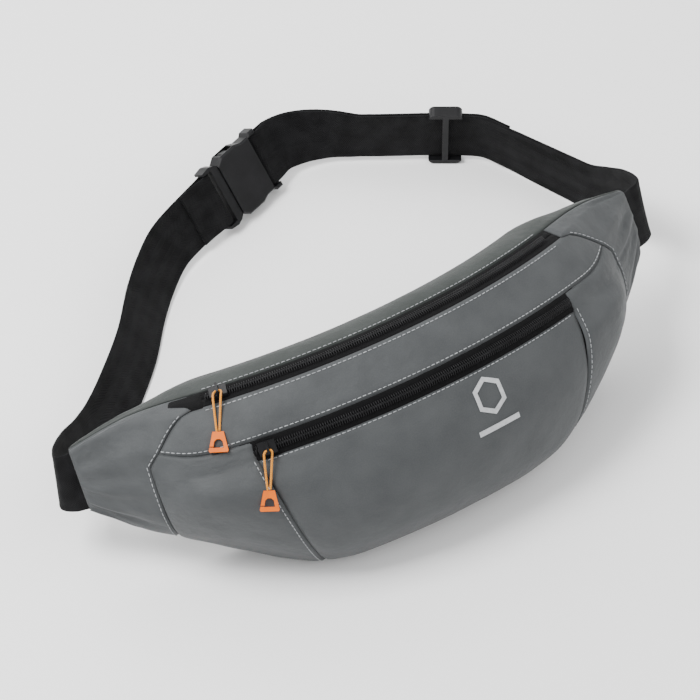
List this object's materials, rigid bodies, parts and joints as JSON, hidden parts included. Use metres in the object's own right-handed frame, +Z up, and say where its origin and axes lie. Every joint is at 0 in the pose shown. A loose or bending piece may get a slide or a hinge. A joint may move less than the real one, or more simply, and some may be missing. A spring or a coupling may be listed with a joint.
{
  "type": "waist bag",
  "caption": "Crescent waist bag with two curved zips, corded pulls and a webbing belt with side-release buckle and strap slider.",
  "frame": {"origin": "centre of the bounding box's bottom, on the floor that the bag lies on", "axes": "+X along the bag to the right as seen from its front, +Y back towards the belt, +Z up"},
  "size_m": [0.4358, 0.3359, 0.1259],
  "materials": {
    "grey_cloth": "coated plain weave",
    "back_cloth": "coated plain weave",
    "lining_cloth": "thin lining",
    "webbing": "twill webbing",
    "zip_tape": "woven tape",
    "zip_coil": "nylon coil",
    "black_enamel": "black enamel",
    "black_plastic": "satin moulded",
    "orange_cord": "round braided cord",
    "orange_plastic": "moulded"
  },
  "bodies": {
    "bag": {"back_panel": "back_cloth", "top_front_panel": "grey_cloth", "front_pocket_panel": "grey_cloth", "pocket_divider": "lining_cloth", "left_side_panel": "grey_cloth", "right_side_panel": "grey_cloth", "left_wing": "grey_cloth", "right_wing": "grey_cloth", "left_webbing": "webbing", "right_webbing": "webbing", "buckle_female": "black_plastic", "main_zip_tape_upper": "zip_tape", "main_zip_tape_lower": "zip_tape", "main_zip_chain_upper": "zip_coil", "main_zip_chain_lower": "zip_coil", "front_zip_tape_upper": "zip_tape", "front_zip_tape_lower": "zip_tape", "front_zip_chain_upper": "zip_coil", "front_zip_chain_lower": "zip_coil"},
    "main_zip_slider_body": {"main_zip_slider": "black_enamel"},
    "main_zip_pull": {"main_zip_pull_cord": "orange_cord", "main_zip_pull_tag": "orange_plastic"},
    "front_zip_slider_body": {"front_zip_slider": "black_enamel"},
    "front_zip_pull": {"front_zip_pull_cord": "orange_cord", "front_zip_pull_tag": "orange_plastic"},
    "buckle_male_half": {"buckle_male": "black_plastic"},
    "prong_upper": {"buckle_prong_upper": "black_plastic"},
    "prong_lower": {"buckle_prong_lower": "black_plastic"},
    "strap_slider_body": {"strap_slider": "black_plastic"}
  },
  "joints": [
    {"name": "main_zip_run", "type": "hinge", "parent": "bag", "child": "main_zip_slider_body", "pos_m": [-0.00372, 0.12222, -0.05975], "axis": [0, 0.5736, 0.8192], "range_deg": [0, 48]},
    {"name": "main_zip_pull_swing", "type": "hinge", "parent": "main_zip_slider_body", "child": "main_zip_pull", "pos_m": [-0.11961, -0.0709, 0.11403], "axis": [-0.9121, 0.3358, -0.2351], "range_deg": [0, 110]},
    {"name": "front_zip_run", "type": "hinge", "parent": "bag", "child": "front_zip_slider_body", "pos_m": [-0.00372, 0.12222, -0.05975], "axis": [0, 0.5736, 0.8192], "range_deg": [0, 41]},
    {"name": "front_zip_pull_swing", "type": "hinge", "parent": "front_zip_slider_body", "child": "front_zip_pull", "pos_m": [-0.11154, -0.11644, 0.0995], "axis": [-0.9361, 0.2882, -0.2018], "range_deg": [0, 110]},
    {"name": "buckle_release", "type": "slide", "parent": "bag", "child": "buckle_male_half", "axis": [-0.9426, -0.3338, 0], "range_m": [0, 0.03], "deforming": ["left_webbing", "buckle_prong_upper", "buckle_prong_lower"]},
    {"name": "prong_upper_press", "type": "hinge", "parent": "buckle_male_half", "child": "prong_upper", "pos_m": [0.00721, 0.14649, 0.03286], "axis": [-0.2734, 0.7722, -0.5736], "range_deg": [0, 12], "stiffness_Nm_per_rad": 0.4},
    {"name": "prong_lower_press", "type": "hinge", "parent": "buckle_male_half", "child": "prong_lower", "pos_m": [0.01238, 0.1319, 0.01074], "axis": [0.2734, -0.7722, 0.5736], "range_deg": [0, 12], "stiffness_Nm_per_rad": 0.4},
    {"name": "strap_slider_run", "type": "slide", "parent": "bag", "child": "strap_slider_body", "axis": [-0.8523, 0.523, 0], "range_m": [-0.008, 0.038]}
  ]
}
